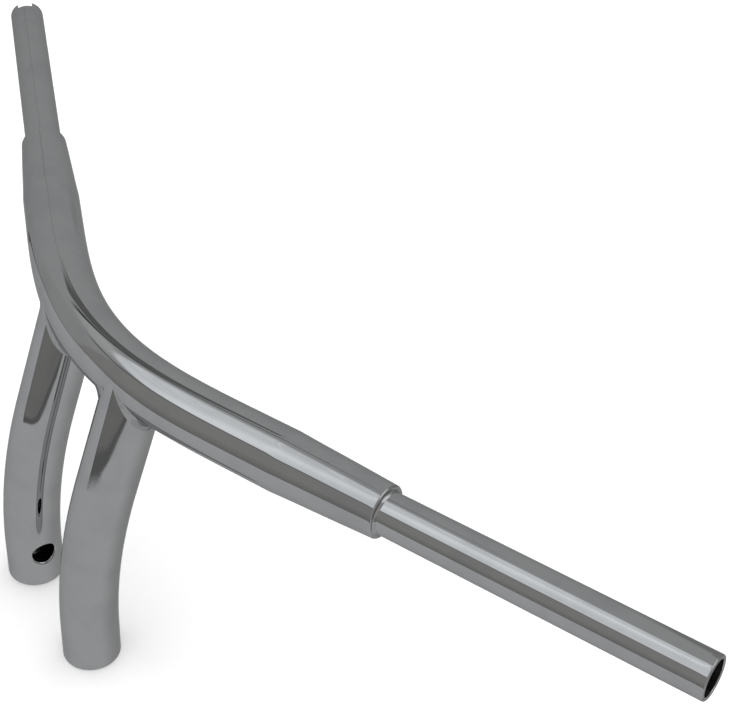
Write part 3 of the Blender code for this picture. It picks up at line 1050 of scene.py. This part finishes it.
# What the chrome sees, by direction in degrees. Above the table's edge lies the room, and each of its panels
# covers the ones before it. Widths and heights are halves, and softA and softE are the panel's soft borders.
studio = dict(
    daylight=1.30,  # on the floor and to the camera
    backdrop=(0.362, 0.365, 0.366),
    table=(0.450, 0.456, 0.460),
    edgeHeight=-14.9,
    edgeFacing=91.0,  # where the far edge is seen highest
    edgeDrop=2.6,  # lower by this much at edgeSpread to either side
    edgeSpread=33.0,
    edgePower=1.7,
    edgeLowest=14.5,
    sideEdge=((3, 26, -26, -3), (26, 46, 0, 4)),  # its near side: two azimuths and what is added at each
    sideEnd=(50, 76),  # where the near side passes into the far edge
    edgeLine=dict(halfWidth=0.35, soft=0.45, azimuth=78, width=75, level=0.12),
    room=[
        dict(azimuth=34, width=14, elevation=10, height=24, softA=3, softE=6, low=0.335, high=0.335),
        dict(azimuth=98.5, width=53, elevation=8, height=32, softA=1.6, softE=1.5, low=0.19, high=0.272,
             levelFrom=-15, levelTo=8, tint=(1.0, 0.995, 0.965)),
        dict(azimuth=240, width=60, elevation=9, height=28, softA=8, softE=1.5, low=0.14, high=0.27,
             levelFrom=-17, levelTo=9, tint=(1.0, 0.995, 0.965)),
        dict(azimuth=-66, width=10.5, elevation=12, height=26, softA=1.2, softE=9, low=0.24, high=0.24),
        dict(azimuth=20, width=14, elevation=42, height=4.5, softA=4, softE=1.5, low=0.42, high=0.48),
        dict(azimuth=72, width=41, elevation=35.4, height=1.2, softA=4, softE=0.7, low=0.15, high=0.15),
        dict(azimuth=58, width=55, elevation=58, height=21, softA=9, softE=1.3, low=0.80, high=0.80,
             tint=(0.97, 0.995, 1.02), streaks=0.06, slope=0.25, slopeFrom=56,
             glow=0.20, glowAt=61, glowWidth=22),
        dict(azimuth=238, width=44, elevation=56, height=18, softA=6, softE=2, low=0.95, high=0.80,
             tint=(0.97, 0.995, 1.02), streaks=0.06),
        dict(azimuth=-13, width=10.5, elevation=43, height=4.6, softA=2, softE=0.7, lean=-1.0,
             low=0.125, high=0.135),
        dict(azimuth=-7, width=2.4, elevation=48.5, height=9.5, softA=1.1, softE=3, lean=-1.6,
             low=0.015, high=0.10),
        dict(azimuth=-12, width=1.5, elevation=32.5, height=6.8, softA=0.9, softE=0.8, low=0.29, high=0.32),
    ],
    overTable=[
        dict(azimuth=264, width=42, elevation=-55, height=38, softA=34, softE=8, low=0.362, high=0.372),
    ],
)


def panelOver(tree, color, azimuth, elevation, panel):
    turned = calc(tree, "WRAP", calc(tree, "SUBTRACT", azimuth, float(panel["azimuth"])), -180.0, 180.0)
    above = calc(tree, "SUBTRACT", elevation, float(panel["elevation"]))
    if "lean" in panel:
        turned = calc(tree, "SUBTRACT", turned, calc(tree, "MULTIPLY", above, panel["lean"]))
    aside = calc(tree, "ABSOLUTE", turned)
    if "slope" in panel:
        short = calc(tree, "MAXIMUM", calc(tree, "SUBTRACT", float(panel["slopeFrom"]), azimuth), 0.0)
        above = calc(tree, "SUBTRACT", above, calc(tree, "MULTIPLY", short, panel["slope"]))
    away = calc(tree, "ABSOLUTE", above)
    inWidth = rangeOf(tree, aside, panel["width"] - panel["softA"], panel["width"] + panel["softA"], 1, 0)
    inHeight = rangeOf(tree, away, panel["height"] - panel["softE"], panel["height"] + panel["softE"], 1, 0)
    share = calc(tree, "MULTIPLY", inWidth, inHeight)
    first = panel.get("levelFrom", panel["elevation"] - panel["height"])
    last = panel.get("levelTo", panel["elevation"] + panel["height"])
    level = rangeOf(tree, elevation, first, last, panel["low"], panel["high"], smooth=False)
    if "glow" in panel:
        off = calc(tree, "ABSOLUTE", calc(tree, "SUBTRACT", azimuth, float(panel["glowAt"])))
        level = calc(tree, "ADD", level, rangeOf(tree, off, 0, panel["glowWidth"], panel["glow"], 0))
    if "streaks" in panel:
        lines = addNode(tree, "ShaderNodeTexNoise", noise_dimensions="1D")
        feed(tree, lines, "W", elevation)
        feed(tree, lines, "Scale", 0.55)
        feed(tree, lines, "Detail", 3.0)
        streak = rangeOf(tree, lines.outputs["Fac"], 0.3, 0.7, 1 - panel["streaks"], 1 + panel["streaks"])
        level = calc(tree, "MULTIPLY", level, streak)
    tint = panel.get("tint", (1.0, 1.0, 1.0))
    shade = addNode(tree, "ShaderNodeCombineXYZ")
    for index in range(3):
        tree.links.new(calc(tree, "MULTIPLY", level, tint[index]), shade.inputs[index])
    return mixOf(tree, share, color, shade.outputs[0])


def makeStudio():
    world = bpy.data.worlds.new("studio")
    bpy.context.scene.world = world
    world.use_nodes = True
    tree = world.node_tree
    direction = addNode(tree, "ShaderNodeSeparateXYZ")
    tree.links.new(addNode(tree, "ShaderNodeTexCoord").outputs["Generated"], direction.inputs[0])
    x, y, z = direction.outputs
    elevation = calc(tree, "MULTIPLY", calc(tree, "ARCSINE", z), 180 / math.pi)
    azimuth = calc(tree, "MULTIPLY", calc(tree, "ARCTAN2", y, x), 180 / math.pi)
    turned = calc(tree, "WRAP", calc(tree, "SUBTRACT", azimuth, studio["edgeFacing"]), -180.0, 180.0)
    aside = calc(tree, "DIVIDE", calc(tree, "ABSOLUTE", turned), studio["edgeSpread"])
    drop = calc(tree, "MULTIPLY", calc(tree, "POWER", aside, studio["edgePower"]), studio["edgeDrop"])
    drop = calc(tree, "MINIMUM", drop, studio["edgeLowest"])
    farEdge = calc(tree, "SUBTRACT", studio["edgeHeight"], drop)
    # the table's near side stands higher than its far edge, and passes into it over sideEnd
    nearRise, farRise = (rangeOf(tree, azimuth, *rise, smooth=False) for rise in studio["sideEdge"])
    atSide = rangeOf(tree, azimuth, *studio["sideEnd"], 1, 0)
    behind = rangeOf(tree, azimuth, -130, -120)
    atSide = calc(tree, "MULTIPLY", atSide, behind)
    risen = calc(tree, "SUBTRACT", calc(tree, "ADD", nearRise, farRise), farEdge)
    edge = calc(tree, "ADD", farEdge, calc(tree, "MULTIPLY", atSide, risen))
    overEdge = calc(tree, "SUBTRACT", elevation, edge)
    color = (*studio["backdrop"], 1)
    for panel in studio["room"]:
        color = panelOver(tree, color, azimuth, elevation, panel)
    color = mixOf(tree, rangeOf(tree, overEdge, -0.5, 0.5), (*studio["table"], 1), color)
    for panel in studio["overTable"]:
        color = panelOver(tree, color, azimuth, elevation, panel)
    line = studio["edgeLine"]
    turned = calc(tree, "WRAP", calc(tree, "SUBTRACT", azimuth, float(line["azimuth"])), -180.0, 180.0)
    onLine = rangeOf(tree, calc(tree, "ABSOLUTE", turned), line["width"] - 3, line["width"] + 3, 1, 0)
    fromEdge = calc(tree, "ABSOLUTE", overEdge)
    near = rangeOf(tree, fromEdge, line["halfWidth"], line["halfWidth"] + line["soft"], 1, 0)
    dark = (line["level"], line["level"], line["level"], 1)
    color = mixOf(tree, calc(tree, "MULTIPLY", onLine, near), color, dark)
    path = addNode(tree, "ShaderNodeLightPath")
    bright = studio["daylight"]
    color = mixOf(tree, path.outputs["Is Glossy Ray"], (bright, bright, bright, 1), color)
    tree.links.new(color, tree.nodes["Background"].inputs["Color"])


view = dict(
    place=(-0.716594, 0.274643, 0.811645),
    azimuth=math.radians(-125.646),
    elevation=math.radians(37.795),
    roll=math.radians(3.656),
    lens=78.22,
)


def makeCamera():
    data = bpy.data.cameras.new("camera")
    data.lens = view["lens"]
    data.sensor_width = 36
    data.clip_start = 0.05
    data.clip_end = 50
    camera = bpy.data.objects.new("camera", data)
    azimuth, elevation = view["azimuth"], view["elevation"]
    level = math.cos(elevation)
    back = Vector((math.sin(azimuth) * level, -math.cos(azimuth) * level, math.sin(elevation)))
    camera.rotation_mode = "QUATERNION"
    aim = (-back).to_track_quat("-Z", "Y")
    camera.rotation_quaternion = aim @ Matrix.Rotation(view["roll"], 4, "Z").to_quaternion()
    camera.location = view["place"]
    bpy.context.scene.collection.objects.link(camera)
    bpy.context.scene.camera = camera


makeFloor()
makeStudio()
makeCamera()
bpy.context.scene.view_settings.view_transform = "Standard"
print("studio ready")
